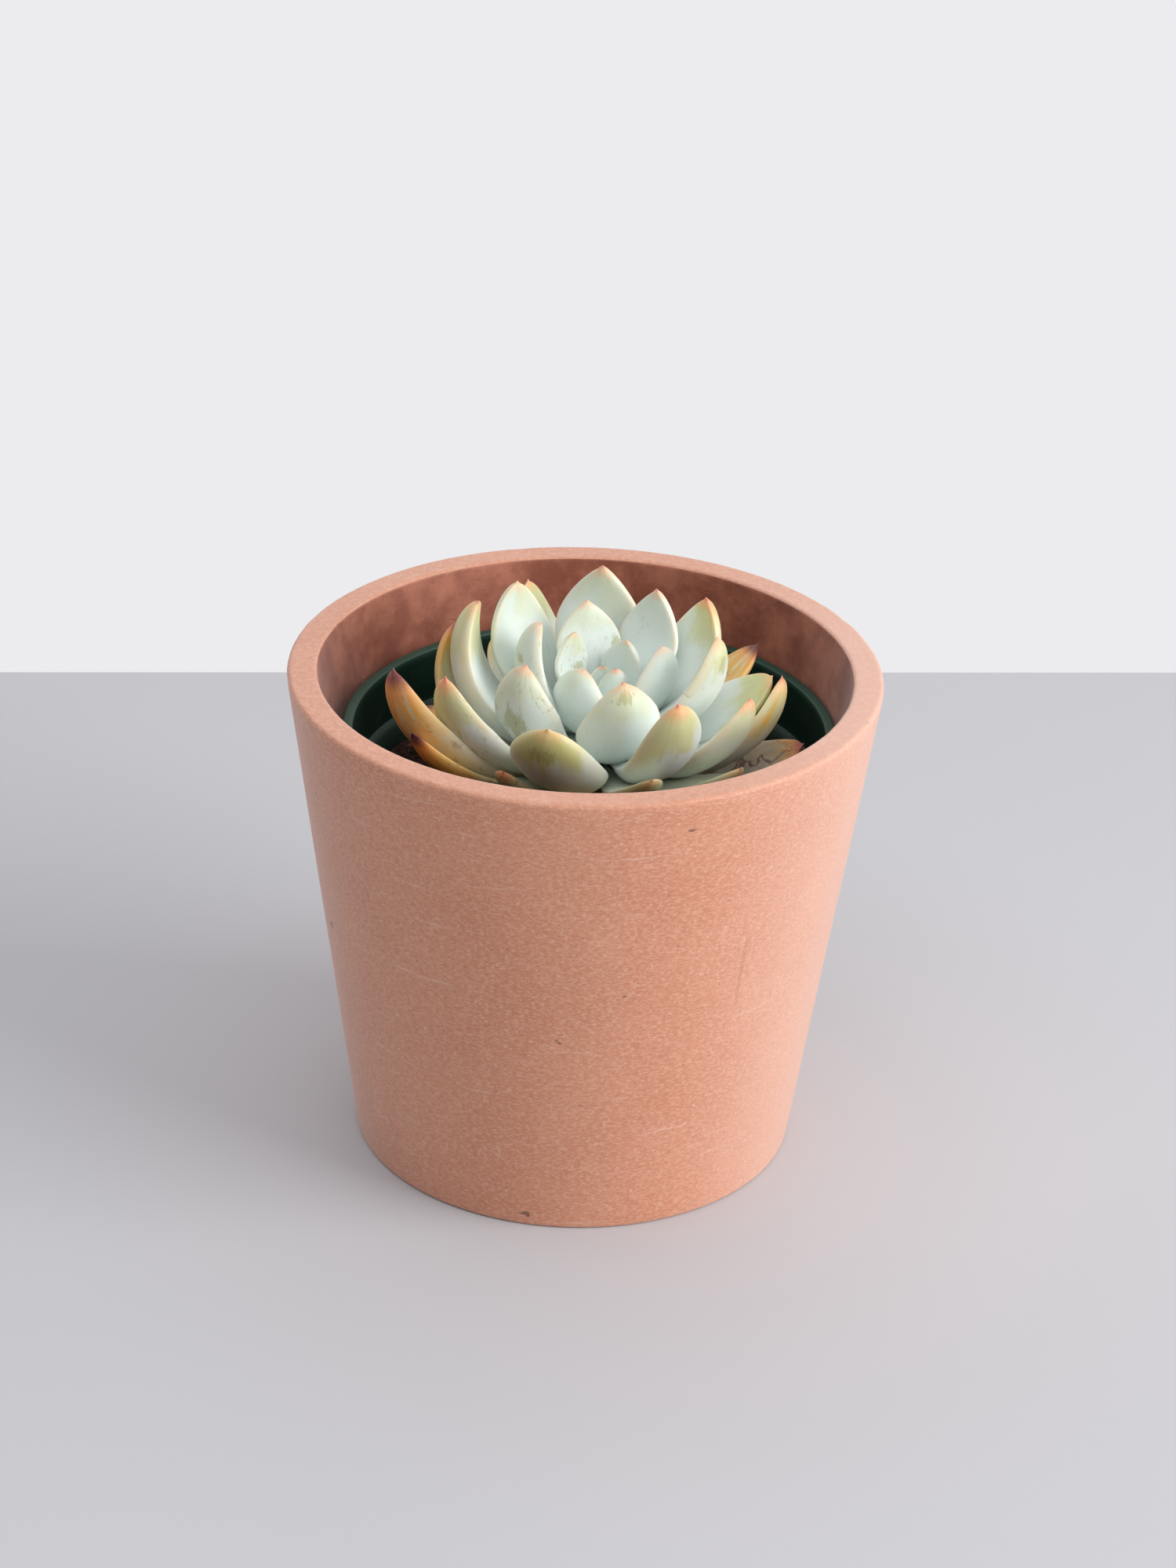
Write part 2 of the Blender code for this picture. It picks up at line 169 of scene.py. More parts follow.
def clay_material():
    """Fine fired clay: a mottled body, specks, scratches, nicks and rubbed edges, with painted light and
    shade.
    """
    made, ink, shader = begin_material("fired clay", Specular_IOR_Level=0.6, Sheen_Weight=0.35,
                                       Sheen_Roughness=0.45)
    place = ink.node("ShaderNodeTexCoord", out=3)
    parts = ink.node("ShaderNodeSeparateXYZ", {}, {0: place})
    x, y, z = (parts.other(i) for i in range(3))
    wear_and_rim_light = ink.node("ShaderNodeAttribute", {"attribute_name": "wear_and_rim_light"}, out=2)
    inner = ink.node("ShaderNodeAttribute", {"attribute_name": "inner"}, out=2)
    clouds = grain(ink, place, 34, 4, 0.6)
    mottle = grain(ink, place, 800, 5, 0.8, stretch=(1, 1, 2.4))
    fine = grain(ink, place, 1900, 3, 0.6, stretch=(1, 1, 1.8))
    specks = grain(ink, place, 760, 2).between(0.70, 0.76)
    pale_specks = grain(ink, place, 900, 2).between(0.66, 0.73)
    slant = grain(ink, place, 45, 5, 0.7, stretch=(1.0, 1.0, 16.0), turn=(0.35, 0.75, 0.3))
    scratches = slant.between(0.61, 0.70) * clouds.between(0.38, 0.58)
    nicks = grain(ink, place, 150, 2, stretch=(1, 1, 2.5)).between(0.755, 0.78)
    blotches = grain(ink, place, 75, 5, 0.65)
    colour = clouds.between(0.3, 0.7).mix(CLAY_DEEP, CLAY_LIGHT)
    colour = (mottle.between(0.46, 0.62) * 0.8).mix(colour, PALE_GRAIN)
    colour = ((1 - mottle.between(0.34, 0.47)) * 0.6).mix(colour, DARK_GRAIN)
    colour = (fine.between(0.55, 0.75) * 0.5).mix(colour, FINE_GRAIN)
    colour = (scratches * 0.5).mix(colour, SCRATCH)
    colour = (specks * 0.4).mix(colour, DARK_SPECK)
    colour = (pale_specks * 0.4).mix(colour, PALE_SPECK)
    # Painted shade: the small nicks dented into the clay are painted darker.
    colour = (nicks * 0.8).mix(colour, PAINTED_NICK_SHADE)
    # Rubbed paler at the rim and the foot; the rim's top is also painted paler as painted light.
    colour = (wear_and_rim_light * (0.25 + 0.5 * mottle)).mix(colour, RUBBED_AND_LIT_EDGE)
    # Painted shade: the inner wall is painted darker and redder than the outside, in blotches.
    painted_shade_inside = blotches.between(0.35, 0.72).mix(PAINTED_SHADE_INSIDE_DEEP, PAINTED_SHADE_INSIDE_PALE)
    colour = inner.mix(colour, painted_shade_inside)
    # Painted light: the right-hand side, turned to the window light, is painted a little paler.
    bearing = ink.maths("ARCTAN2", x, y * -1)
    painted_light_side = bearing.between(0.3, 1.3) * (1 - bearing.between(1.8, 2.8)) * (1 - inner)
    colour = (painted_light_side * 0.35).mix(colour, PAINTED_LIGHT_TINT)
    # A hairline crease down the outside, right of the front, its line painted darker as painted shade.
    wander = (grain(ink, place, 90, 2) - 0.5) * 0.02
    crease = 1 - abs(bearing - CREASE_BEARING + wander).between(0.004, 0.014)
    crease = crease * z.between(0.060, 0.068) * (1 - z.between(0.078, 0.088)) * (1 - inner)
    colour = (crease * 0.22).mix(colour, PAINTED_CREASE_SHADE)
    height = mottle * 0.5 + fine * 0.4 - specks * 0.8 - nicks * 2.0 - crease * 1.2 + scratches * 0.3
    bump = ink.node("ShaderNodeBump", {}, {"Strength": 0.35, "Distance": 0.35 * MM, "Height": height})
    rough = 0.46 + mottle * 0.2
    feed(shader, Base_Color=colour, Normal=bump, Roughness=rough)
    return made


def arc(centre_r, centre_z, radius, start, end, steps):
    """Points of a rounded edge in a turned outline, angles in degrees."""
    turns = (math.radians(start + (end - start) * i / steps) for i in range(steps + 1))
    return [(centre_r + radius * math.cos(a), centre_z + radius * math.sin(a)) for a in turns]


def straight(start, end, steps):
    """Points between two corners of a turned outline, without the ends."""
    shares = (i / steps for i in range(1, steps))
    return [(start[0] + (end[0] - start[0]) * s, start[1] + (end[1] - start[1]) * s) for s in shares]


def lathe(name, outline, segments, centre_x=0.0, sink=None):
    """Turn an outline that starts and ends on the axis into a closed shell.

    sink(point, radius, height) gives how far a point is worn inward, towards the axis.
    """
    shape = bmesh.new()
    rings = []
    for radius, height in outline[1:-1]:
        ring = []
        for i in range(segments):
            angle = math.tau * i / segments
            spoke = Vector((math.cos(angle), math.sin(angle), 0))
            point = spoke * radius + Vector((0, 0, height))
            if sink:
                point -= spoke * sink(point, radius, height)
            ring.append(shape.verts.new(point + Vector((centre_x, 0, 0))))
        rings.append(ring)
    ends = [shape.verts.new((centre_x, 0, outline[k][1])) for k in (0, -1)]
    for lower, upper in zip(rings, rings[1:]):
        for i in range(segments):
            j = (i + 1) % segments
            shape.faces.new((lower[i], lower[j], upper[j], upper[i]))
    for ring, pole in ((rings[0], ends[0]), (rings[-1], ends[1])):
        for i in range(segments):
            shape.faces.new((ring[i], ring[(i + 1) % segments], pole))
    bmesh.ops.recalc_face_normals(shape, faces=shape.faces)
    mesh = bpy.data.meshes.new(name)
    shape.to_mesh(mesh)
    shape.free()
    return mesh


def place_mesh(name, mesh, finish):
    """Link a mesh as a smooth-shaded object with its material."""
    mesh.shade_smooth()
    mesh.materials.clear()
    mesh.materials.append(finish)
    made = bpy.data.objects.new(name, mesh)
    bpy.context.collection.objects.link(made)
    return made


def paint(mesh, name, rule):
    """Store a value on each vertex, worked out by a rule from its place."""
    layer = mesh.attributes.new(name, "FLOAT", "POINT")
    layer.data.foreach_set("value", [rule(v.co) for v in mesh.vertices])


planter_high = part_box("planter")[1]
RIM = planter_high[0]
TOP = planter_high[2]
FOOT = 57 * MM
WALL = 8 * MM
FLOOR = 9 * MM
EDGE = 1.1 * MM
WELL_EDGE = 4 * MM
TAPER = 0.14
PLANTER_SIDES = 320
WAVE_DEPTH = 0.10 * MM
PIT_DEPTH = 0.25 * MM
CHIP_DEPTH = 0.8 * MM
FRET_DEPTH = 0.10 * MM
CHIPPED_BAND = 1.6 * MM
RUBBED_AND_LIT_RIM = 1.1 * MM
RUBBED_FOOT = 2 * MM


def planter_sink(point, radius, height):
    """How far the clay is worn or cast inward: broad waves, pits, and nicks along the rim."""
    waves = WAVE_DEPTH * (1 + noise.noise(point * 22))
    pits = PIT_DEPTH * max(0.0, noise.noise(point * 260) - 0.42)
    at_rim = math.exp(-((height - TOP) / CHIPPED_BAND) ** 2)
    chips = CHIP_DEPTH * max(0.0, noise.noise(point * 160 + Vector((3, 1, 7))) - 0.40) * at_rim
    fretting = FRET_DEPTH * (1 + noise.noise(point * 420)) * at_rim
    inward = 1.0 if radius > RIM - 0.6 * WALL - (TOP - height) * TAPER else -0.6
    return inward * (waves + pits + chips + fretting) if radius > 10 * MM else 0.0


foot_edge = arc(FOOT - EDGE, EDGE, EDGE, -90, 0, 5)
outer_edge = arc(RIM - EDGE, TOP - EDGE, EDGE, 0, 90, 6)
inner_edge = arc(RIM - WALL + EDGE, TOP - EDGE, EDGE, 90, 180, 6)
well_edge = arc(FOOT - WALL - WELL_EDGE, FLOOR + WELL_EDGE, WELL_EDGE, 0, -90, 6)
planter_outline = [(0.0, 0.0)]
planter_outline += straight((0, 0), foot_edge[0], 6) + foot_edge
planter_outline += straight(foot_edge[-1], outer_edge[0], 70) + outer_edge
planter_outline += straight(outer_edge[-1], inner_edge[0], 7) + inner_edge
planter_outline += straight(inner_edge[-1], well_edge[0], 36) + well_edge
planter_outline += straight(well_edge[-1], (0, FLOOR), 5) + [(0.0, FLOOR)]
planter_mesh = lathe("planter_shell", planter_outline, PLANTER_SIDES, sink=planter_sink)


def rubbed_and_rim_light(point):
    """How much the clay is rubbed paler, with painted light on the rim's top: most at the rim, a little
    at the foot.
    """
    at_rim = math.exp(-(max(0.0, TOP - point.z) / RUBBED_AND_LIT_RIM) ** 2)
    return 0.8 * at_rim + 0.3 * math.exp(-(point.z / RUBBED_FOOT) ** 2)


def is_inside(point):
    """1 on the wall's inner face, 0 on the outer one and on the rim."""
    middle = FOOT + (RIM - FOOT) * point.z / TOP - 0.55 * WALL
    return float(point.xy.length < middle and point.z < TOP - 0.5 * MM)


paint(planter_mesh, "wear_and_rim_light", rubbed_and_rim_light)
paint(planter_mesh, "inner", is_inside)
planter = place_mesh("planter_shell", planter_mesh, clay_material())
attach(planter, "root")
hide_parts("planter")


# ---------------------------------------------------------------------------------------------
# The grower's pot. Vacuum-formed dark green plastic a millimetre thick, with a pale rolled lip,
# a straight collar, a ledge under it and a tapered body with drain holes in its floor.
# ---------------------------------------------------------------------------------------------

PLASTIC_DEEP = rgba(10, 36, 29)
PLASTIC_LIGHT = rgba(15, 48, 38)
PLASTIC_LIP_AND_HIGHLIGHT = rgba(58, 100, 82)
PLASTIC_DUST = rgba(70, 74, 62)
PLASTIC_CRUMB = rgba(88, 66, 48)


def nursery_material():
    """Dark green plastic: satin, faintly streaked and dusty, paler at the lip, with a painted highlight
    along the ledge.
    """
    made, ink, shader = begin_material("nursery plastic", Specular_IOR_Level=0.45)
    place = ink.node("ShaderNodeTexCoord", out=3)
    lip = ink.node("ShaderNodeAttribute", {"attribute_name": "lip"}, out=2)
    dust = grain(ink, place, 160, 6, 0.7).between(0.52, 0.75)
    crumbs = grain(ink, place, 900, 2).between(0.70, 0.75)
    drawn = grain(ink, place, 40, 4, 0.6, stretch=(1, 1, 14))
    colour = drawn.mix(PLASTIC_DEEP, PLASTIC_LIGHT)
    # Paler along the top of the lip; the paler line along the ledge is a painted highlight.
    colour = (lip * 0.45).mix(colour, PLASTIC_LIP_AND_HIGHLIGHT)
    colour = (dust * 0.12).mix(colour, PLASTIC_DUST)
    colour = (crumbs * 0.5).mix(colour, PLASTIC_CRUMB)
    rough = 0.46 + dust * 0.3
    bump = ink.node("ShaderNodeBump", {}, {"Strength": 0.2, "Distance": 0.2 * MM,
                                           "Height": drawn + crumbs})
    feed(shader, Base_Color=colour, Roughness=rough, Normal=bump)
    return made


nursery_low, nursery_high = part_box("nursery_pot")
NURSERY_X = 0.5 * (nursery_low[0] + nursery_high[0])
NURSERY_RIM = nursery_high[0] - NURSERY_X
NURSERY_TOP = nursery_high[2]
NURSERY_FOOT = nursery_low[2]
NURSERY_SIDES = 224
NURSERY_WALL = 1.2 * MM
LIP_OVERHANG = 1.6 * MM
LIP_HEIGHT = 2.2 * MM
LIP_ROUND = 0.7 * MM
INNER_ROUND = 0.5 * MM
LEDGE_WIDTH = 2.6 * MM
LEDGE = NURSERY_TOP - 15 * MM
COLLAR = NURSERY_RIM - LIP_OVERHANG
COLLAR_DRAFT = 0.6 * MM
BODY = COLLAR - LEDGE_WIDTH
FOOT_RADIUS = 44 * MM
DRAIN_HOLES = 6
DRAIN_CIRCLE = 28 * MM
DRAIN_RADIUS = 4 * MM

lip_outer = arc(NURSERY_RIM - LIP_ROUND, NURSERY_TOP - LIP_ROUND, LIP_ROUND, -60, 90, 6)
lip_inner = arc(COLLAR - NURSERY_WALL + INNER_ROUND, NURSERY_TOP - INNER_ROUND, INNER_ROUND, 90, 180, 4)
body_top = (BODY, LEDGE - 1 * MM)
collar_foot = (COLLAR - COLLAR_DRAFT, LEDGE)
collar_top = (COLLAR, NURSERY_TOP - LIP_HEIGHT)
inner_collar = (COLLAR - COLLAR_DRAFT - NURSERY_WALL, LEDGE + NURSERY_WALL)
inner_body = (BODY - NURSERY_WALL, LEDGE)
inner_foot = (FOOT_RADIUS - NURSERY_WALL, NURSERY_FOOT + NURSERY_WALL)
nursery_outline = [(0.0, NURSERY_FOOT), (0.5 * FOOT_RADIUS, NURSERY_FOOT), (FOOT_RADIUS, NURSERY_FOOT)]
nursery_outline += straight((FOOT_RADIUS, NURSERY_FOOT), body_top, 12) + [body_top, collar_foot]
nursery_outline += straight(collar_foot, collar_top, 8) + [collar_top] + lip_outer + lip_inner
nursery_outline += straight(lip_inner[-1], inner_collar, 10) + [inner_collar, inner_body]
nursery_outline += straight(inner_body, inner_foot, 12) + [inner_foot]
nursery_outline += [(0.5 * FOOT_RADIUS, inner_foot[1]), (0.0, inner_foot[1])]
nursery_mesh = lathe("nursery_shell", nursery_outline, NURSERY_SIDES, centre_x=NURSERY_X)


def lip_and_ledge_highlight(point):
    """Where the plastic is painted paler: along the top of the lip, and less along the ledge as a painted
    highlight.
    """
    below_lip = max(0.0, NURSERY_TOP - 0.2 * MM - point.z)
    above_ledge = point.z - LEDGE - 0.9 * MM
    return math.exp(-(below_lip / (0.7 * MM)) ** 2) + 0.55 * math.exp(-(above_ledge / (0.5 * MM)) ** 2)


paint(nursery_mesh, "lip", lip_and_ledge_highlight)
nursery = place_mesh("nursery_shell", nursery_mesh, nursery_material())


def drain_cutter():
    """Short drills on a circle through the pot's floor, as one mesh."""
    drills = bmesh.new()
    for i in range(DRAIN_HOLES):
        angle = math.tau * (i + 0.5) / DRAIN_HOLES
        spot = Vector((NURSERY_X + DRAIN_CIRCLE * math.cos(angle), DRAIN_CIRCLE * math.sin(angle),
                       inner_foot[1]))
        bmesh.ops.create_cone(drills, cap_ends=True, segments=32, radius1=DRAIN_RADIUS,
                              radius2=DRAIN_RADIUS, depth=8 * MM, matrix=Matrix.Translation(spot))
    mesh = bpy.data.meshes.new("drain_drills")
    drills.to_mesh(mesh)
    drills.free()
    return bpy.data.objects.new("drain_drills", mesh)


def as_plain_mesh(made):
    """Turn an object with modifiers into one with the plain mesh that they make."""
    evaluated = made.evaluated_get(bpy.context.evaluated_depsgraph_get())
    mesh = bpy.data.meshes.new_from_object(evaluated)
    made.modifiers.clear()
    made.data = mesh
    return made


drills = drain_cutter()
bpy.context.collection.objects.link(drills)
drilling = nursery.modifiers.new("drain holes", "BOOLEAN")
drilling.object = drills
drilling.solver = "EXACT"
as_plain_mesh(nursery)
bpy.data.objects.remove(drills)
nursery.data.shade_smooth()
nursery.data.set_sharp_from_angle(angle=math.radians(50))
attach(nursery, "root")
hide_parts("nursery_pot")


# ---------------------------------------------------------------------------------------------
# The soil. Dark peaty potting mix pressed into the grower's pot, with crumbs of bark and grit
# lying loose on top of it.
# ---------------------------------------------------------------------------------------------

PEAT_DARK = rgba(34, 22, 17)
PEAT_BROWN = rgba(74, 50, 38)
PEAT_RED = rgba(118, 70, 48)
PEAT_DULL = rgba(48, 34, 28)


def soil_material():
    """Dark brown peat with redder and duller crumbs."""
    made, ink, shader = begin_material("potting soil", Roughness=0.95, Specular_IOR_Level=0.2)
    place = ink.node("ShaderNodeTexCoord", out=3)
    lumps = grain(ink, place, 300, 5, 0.7)
    bits = ink.node("ShaderNodeTexVoronoi", {}, {"Vector": place, "Scale": 420.0}, out=0)
    tone = grain(ink, place, 230, 2)
    colour = lumps.between(0.3, 0.7).mix(PEAT_DARK, PEAT_BROWN)
    colour = (tone.between(0.55, 0.7) * 0.7).mix(colour, PEAT_RED)
    colour = (tone.between(0.28, 0.4) * -0.6 + 0.6).mix(colour, PEAT_DULL)
    bump = ink.node("ShaderNodeBump", {}, {"Strength": 0.8, "Distance": 0.6 * MM, "Height": lumps - bits})
    feed(shader, Base_Color=colour, Normal=bump)
    return made


SOIL_LEVEL = 94.5 * MM
SOIL_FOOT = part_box("soil")[0][2]
SOIL_FOOT_RADIUS = 41.9 * MM
SOIL_TOP_RADIUS = 56.2 * MM
SOIL_BED = SOIL_LEVEL - 0.6 * MM
SOIL_SIDES = 200
soil_finish = soil_material()


def soil_sink(point, radius, height):
    """The soil's bed is a few tenths of a millimetre uneven round its side."""
    return 0.25 * MM * (1 + noise.noise(point * 300))


soil_side_foot = (SOIL_FOOT_RADIUS, SOIL_FOOT)
soil_side_top = (SOIL_TOP_RADIUS, SOIL_BED)
soil_outline = [(0.0, SOIL_FOOT), soil_side_foot] + straight(soil_side_foot, soil_side_top, 20)
soil_outline += [soil_side_top] + straight(soil_side_top, (0, SOIL_BED), 90) + [(0.0, SOIL_BED)]
soil_mesh = lathe("soil_bed", soil_outline, SOIL_SIDES, centre_x=NURSERY_X, sink=soil_sink)
# The bed's top is low mounds, with crumbs pressed into them.
for vertex in soil_mesh.vertices:
    if vertex.co.z > SOIL_LEVEL - 1 * MM:
        x = vertex.co.x / MM
        y = vertex.co.y / MM
        mound = 0.5 * (math.sin(x / 9) * math.cos(y / 11) + 0.5 * math.sin((x + 2 * y) / 6))
        crumb = noise.noise(vertex.co * 380) + 0.6 * noise.noise(vertex.co * 900)
        vertex.co.z += (mound + 0.55 * crumb) * MM
soil_bed = place_mesh("soil_bed", soil_mesh, soil_finish)


def tree_with(name, inputs):
    """A Geometry Nodes tree with named inputs (name, kind, default) and a geometry output."""
    tree = bpy.data.node_groups.new(name, "GeometryNodeTree")
    tree.interface.new_socket("Geometry", in_out="INPUT", socket_type="NodeSocketGeometry")
    tree.interface.new_socket("Geometry", in_out="OUTPUT", socket_type="NodeSocketGeometry")
    for label, kind, value in inputs:
        socket = tree.interface.new_socket(label, in_out="INPUT", socket_type="NodeSocket" + kind)
        if value is not None:
            socket.default_value = value
    entry = tree.nodes.new("NodeGroupInput")
    return tree, {socket.name: Field(tree, socket) for socket in entry.outputs if socket.name}


def end_tree(grow, geometry, finish):
    """Close a tree: real meshes, one material, and out."""
    real = grow.node("GeometryNodeRealizeInstances", {}, {"Geometry": geometry})
    dressed = grow.node("GeometryNodeSetMaterial", {}, {"Geometry": real, "Material": finish})
    grow.node("NodeGroupOutput", {}, {"Geometry": dressed})


def run_tree(made, tree, values):
    """Give an object a tree's result as its plain mesh."""
    sockets = {item.name: item.identifier for item in tree.interface.items_tree
               if item.item_type == "SOCKET" and item.in_out == "INPUT"}
    modifier = made.modifiers.new(tree.name, "NODES")
    modifier.node_group = tree
    for label, value in values.items():
        modifier[sockets[label]] = value
    return as_plain_mesh(made)


FULL_TURN = 6.28


def crumb_tree():
    """Loose crumbs scattered over the bed it is given, each turned and scaled at random."""
    tree, given = tree_with("soil crumbs", [("Density", "Float", 1e6), ("Smallest", "Float", 0.001),
                                            ("Largest", "Float", 0.002), ("Level", "Float", 0.0),
                                            ("Seed", "Int", 1), ("Finish", "Material", None)])
    grow = Field(tree)
    spot = grow.node("GeometryNodeInputPosition")
    height = grow.node("ShaderNodeSeparateXYZ", {}, {0: spot}, out=2)
    scattered = grow.node("GeometryNodeDistributePointsOnFaces", {},
                          {"Mesh": given["Geometry"], "Selection": height > given["Level"],
                           "Density": given["Density"], "Seed": given["Seed"]})
    lump = grow.node("GeometryNodeMeshIcoSphere", {}, {"Radius": 1.0, "Subdivisions": 1})
    turn = grow.node("FunctionNodeRandomValue", {"data_type": "FLOAT_VECTOR"},
                     {0: (0, 0, 0), 1: (FULL_TURN, FULL_TURN, FULL_TURN), "Seed": given["Seed"]})
    size = grow.node("FunctionNodeRandomValue", {"data_type": "FLOAT"},
                     {2: given["Smallest"], 3: given["Largest"], "Seed": given["Seed"]}, out=1)
    stretch = grow.node("FunctionNodeRandomValue", {"data_type": "FLOAT_VECTOR"},
                        {0: (0.6, 0.45, 0.4), 1: (1.3, 1.0, 0.8), "Seed": given["Seed"]})
    scale = grow.node("ShaderNodeVectorMath", {"operation": "SCALE"}, {0: stretch, "Scale": size})
    crumbs = grow.node("GeometryNodeInstanceOnPoints", {},
                       {"Points": scattered, "Instance": lump, "Rotation": turn, "Scale": scale})
    end_tree(grow, crumbs, given["Finish"])
    return tree


# Loose pieces: name, how many to a square metre, smallest and largest radius, and seed.
LOOSE_PIECES = (
    ("soil_grit", 4.5e5, 0.35 * MM, 0.8 * MM, 3),
    ("soil_bark", 6.0e4, 0.9 * MM, 2.0 * MM, 8),
)
crumbs_tree = crumb_tree()
soil_pieces = [soil_bed]
for label, density, smallest, largest, seed in LOOSE_PIECES:
    crumbs = place_mesh(label, soil_mesh.copy(), soil_finish)
    run_tree(crumbs, crumbs_tree, {"Density": density, "Smallest": smallest, "Largest": largest,
                                   "Level": SOIL_LEVEL - 2.5 * MM, "Seed": seed, "Finish": soil_finish})
    soil_pieces.append(crumbs)
for piece in soil_pieces:
    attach(piece, "root")
    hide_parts("soil")


# ---------------------------------------------------------------------------------------------
# The stem. A short woody stalk that leans a little, ringed with the scars of fallen leaves and
# rooted in the soil. Every leaf is seated on it.
# ---------------------------------------------------------------------------------------------

SCAR_BROWN = rgba(104, 88, 62)
BARK_GREEN = rgba(150, 150, 112)


def stem_material():
    """Pale greenish bark with brown scar lines."""
    made, ink, shader = begin_material("succulent stem", Roughness=0.75)
    place = ink.node("ShaderNodeTexCoord", out=3)
    rings = grain(ink, place, 120, 4, 0.6, stretch=(1, 1, 6))
    colour = rings.between(0.35, 0.65).mix(SCAR_BROWN, BARK_GREEN)
    bump = ink.node("ShaderNodeBump", {}, {"Strength": 0.5, "Distance": 0.4 * MM, "Height": rings})
    feed(shader, Base_Color=colour, Normal=bump)
    return made


STEM_RADIUS = 5.5 * MM
STEM_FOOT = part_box("stem")[0][2]
STEM_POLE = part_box("stem")[1][2]
STEM_RISE = 28 * MM
NARROW_FROM = 103.5 * MM
NARROW_OVER = 15.5 * MM
STEM_RINGS = 48


def stem_axis(height):
    """Where the stem's axis is at a height: it leans to the right and to the front."""
    rise = (height - SOIL_LEVEL) / STEM_RISE
    return Vector(((2 + 4 * rise) * MM, (1 - 2 * rise) * MM, height))


def stem_radius(height):
    """The stem narrows evenly over its upper part."""
    share = min(1.0, max(0.0, (height - NARROW_FROM) / NARROW_OVER))
    return STEM_RADIUS * (1 - 0.7 * share)


stem_outline = [(0.0, STEM_FOOT)]
for i in range(STEM_RINGS + 1):
    height = STEM_FOOT + (STEM_POLE - 0.6 * MM - STEM_FOOT) * i / STEM_RINGS
    root = 0.6 + 0.4 * min(1.0, 6 * i / STEM_RINGS)
    scar = 0.97 + 0.03 * math.sin(i * 2.1)
    stem_outline.append((stem_radius(height) * root * scar, height))
stem_outline.append((0.0, STEM_POLE))
stem_mesh = lathe("stem_stalk", stem_outline, 40)
for vertex in stem_mesh.vertices:
    vertex.co.xy += stem_axis(vertex.co.z).xy
stem = place_mesh("stem_stalk", stem_mesh, stem_material())
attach(stem, "root")
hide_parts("stem")


# ---------------------------------------------------------------------------------------------
# The leaves. Plump spoon-shaped leaves grown in a spiral round the stem: thick and pale with a
# waxy bloom, keeled behind, cream along the margins and ending in a small coloured point.
# ---------------------------------------------------------------------------------------------

# Shares of a leaf's length: where it is broadest and thickest, where its body ends, its point.
BROADEST = 0.62
THICKEST = 0.42
BODY_END = 0.985
POINT_LENGTH = 0.03
# Three places and weights that sum a leaf's curved spine, as Gauss gives them.
SPINE_PLACES = ((0.1127, 5 / 18), (0.5, 8 / 18), (0.8873, 5 / 18))


